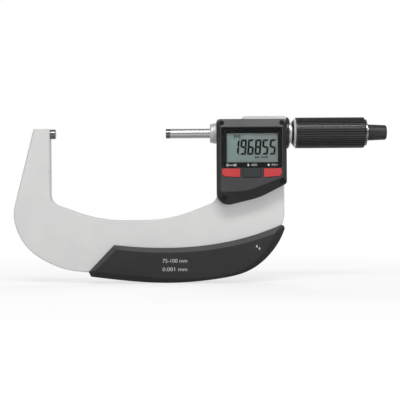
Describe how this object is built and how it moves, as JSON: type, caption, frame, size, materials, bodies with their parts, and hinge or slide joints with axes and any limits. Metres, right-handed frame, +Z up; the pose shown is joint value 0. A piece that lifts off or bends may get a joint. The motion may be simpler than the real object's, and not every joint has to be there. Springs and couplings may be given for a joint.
{
  "type": "outside micrometer",
  "caption": "Digital outside micrometer with a C-shaped frame, screw spindle, ratchet thimble, display housing and insulated grip.",
  "frame": {"origin": "centre of the anvil's measuring face", "axes": "+X along the measuring axis from the anvil to the ratchet, +Z up away from the frame's throat, display faces -Y"},
  "size_m": [0.2525, 0.0286, 0.1126],
  "materials": {
    "frame_paint": "light grey satin enamel",
    "ground_steel": "fine ground",
    "hard_metal": "lapped carbide",
    "satin_chrome": "satin chrome",
    "bronze": "plain bearing bronze",
    "black_plastic": "fine moulded texture",
    "grip_black": "soft-touch",
    "grey_plastic": "moulded",
    "red_plastic": "moulded",
    "button_grey": "moulded",
    "seal_rubber": "matt",
    "window": "clear, glossy",
    "mask_black": "gloss print",
    "lcd": "grey-green",
    "board_green": "solder mask",
    "screw_steel": "blackened",
    "gold_contact": "plated",
    "battery_steel": "nickel",
    "knob_dark": "dark satin"
  },
  "bodies": {
    "frame_and_housing": {"frame": "frame_paint", "anvil": "hard_metal", "anvil_tip": "hard_metal", "spindle_nose": "satin_chrome", "nose_wiper": "seal_rubber", "spindle_bush": "bronze", "barrel": "ground_steel", "spindle_nut": "bronze", "adjusting_nut": "ground_steel", "lock_collet": "ground_steel", "encoder_stator": "board_green", "encoder_flex": "bronze", "housing_rear_shell": "black_plastic", "housing_front_cover": "black_plastic", "housing_gasket": "seal_rubber", "display_mask": "mask_black", "display_window": "window", "lcd_panel": "lcd", "lcd_strips": "seal_rubber", "circuit_board": "board_green", "board_chip": "black_plastic", "board_screws": "screw_steel", "button_mat": "seal_rubber", "cover_screws": "screw_steel", "front_grip_pad": "grip_black", "rear_grip_pad": "grip_black", "grip_pad_screws": "screw_steel", "battery_holder": "black_plastic", "battery": "battery_steel", "battery_contacts": "gold_contact", "rear_cover": "black_plastic", "rear_cover_screws": "screw_steel"},
    "encoder_ring": {"encoder_rotor": "board_green"},
    "spindle_and_thimble": {"spindle": "ground_steel", "spindle_tip": "hard_metal", "thimble_sleeve": "ground_steel", "thimble_grip": "grip_black", "thimble_front_cone": "grip_black", "thimble_front_ring": "satin_chrome", "thimble_hub": "ground_steel", "thimble_end_ring": "satin_chrome", "ratchet_stem": "screw_steel"},
    "ratchet": {"ratchet_knob": "knob_dark", "ratchet_pawl": "ground_steel", "ratchet_spring": "ground_steel", "ratchet_cap": "knob_dark"},
    "lock": {"lock_ring": "knob_dark", "lock_ring_band": "satin_chrome"},
    "left_key": {"button_left": "red_plastic"},
    "centre_key": {"button_centre": "button_grey"},
    "right_key": {"button_right": "red_plastic"},
    "lid_seal": {"battery_lid_seal": "seal_rubber"},
    "lid": {"battery_lid": "grey_plastic"}
  },
  "joints": [
    {"name": "thimble_turn", "type": "hinge", "parent": "frame_and_housing", "child": "encoder_ring", "pos_m": [0.14, 0, 0], "axis": [1, 0, 0], "range_deg": [-360, 18360]},
    {"name": "spindle_feed", "type": "slide", "parent": "encoder_ring", "child": "spindle_and_thimble", "axis": [1, 0, 0], "range_m": [-0.0005, 0.0255]},
    {"name": "ratchet_turn", "type": "hinge", "parent": "spindle_and_thimble", "child": "ratchet", "pos_m": [0.218, 0, 0], "axis": [1, 0, 0], "continuous": true},
    {"name": "lock_turn", "type": "hinge", "parent": "frame_and_housing", "child": "lock", "pos_m": [0.1575, 0, 0], "axis": [1, 0, 0], "range_deg": [0, 45]},
    {"name": "left_button_press", "type": "slide", "parent": "frame_and_housing", "child": "left_key", "axis": [0, 1, 0], "range_m": [0, 0.0006], "stiffness_N_per_m": 600, "springref_m": -0.0004},
    {"name": "centre_button_press", "type": "slide", "parent": "frame_and_housing", "child": "centre_key", "axis": [0, 1, 0], "range_m": [0, 0.0006], "stiffness_N_per_m": 600, "springref_m": -0.0004},
    {"name": "right_button_press", "type": "slide", "parent": "frame_and_housing", "child": "right_key", "axis": [0, 1, 0], "range_m": [0, 0.0006], "stiffness_N_per_m": 600, "springref_m": -0.0004},
    {"name": "battery_lid_lift", "type": "slide", "parent": "frame_and_housing", "child": "lid_seal", "axis": [0, 1, 0], "range_m": [0, 0.00375]},
    {"name": "battery_lid_turn", "type": "hinge", "parent": "lid_seal", "child": "lid", "pos_m": [0.1324, 0.005, -0.031], "axis": [0, 1, 0], "range_deg": [0, 1800]}
  ],
  "couplings": [
    {"joint": "thimble_turn", "follows": "spindle_feed", "rad_per_m": 12566},
    {"joint": "battery_lid_turn", "follows": "battery_lid_lift", "rad_per_m": 8377.6}
  ]
}
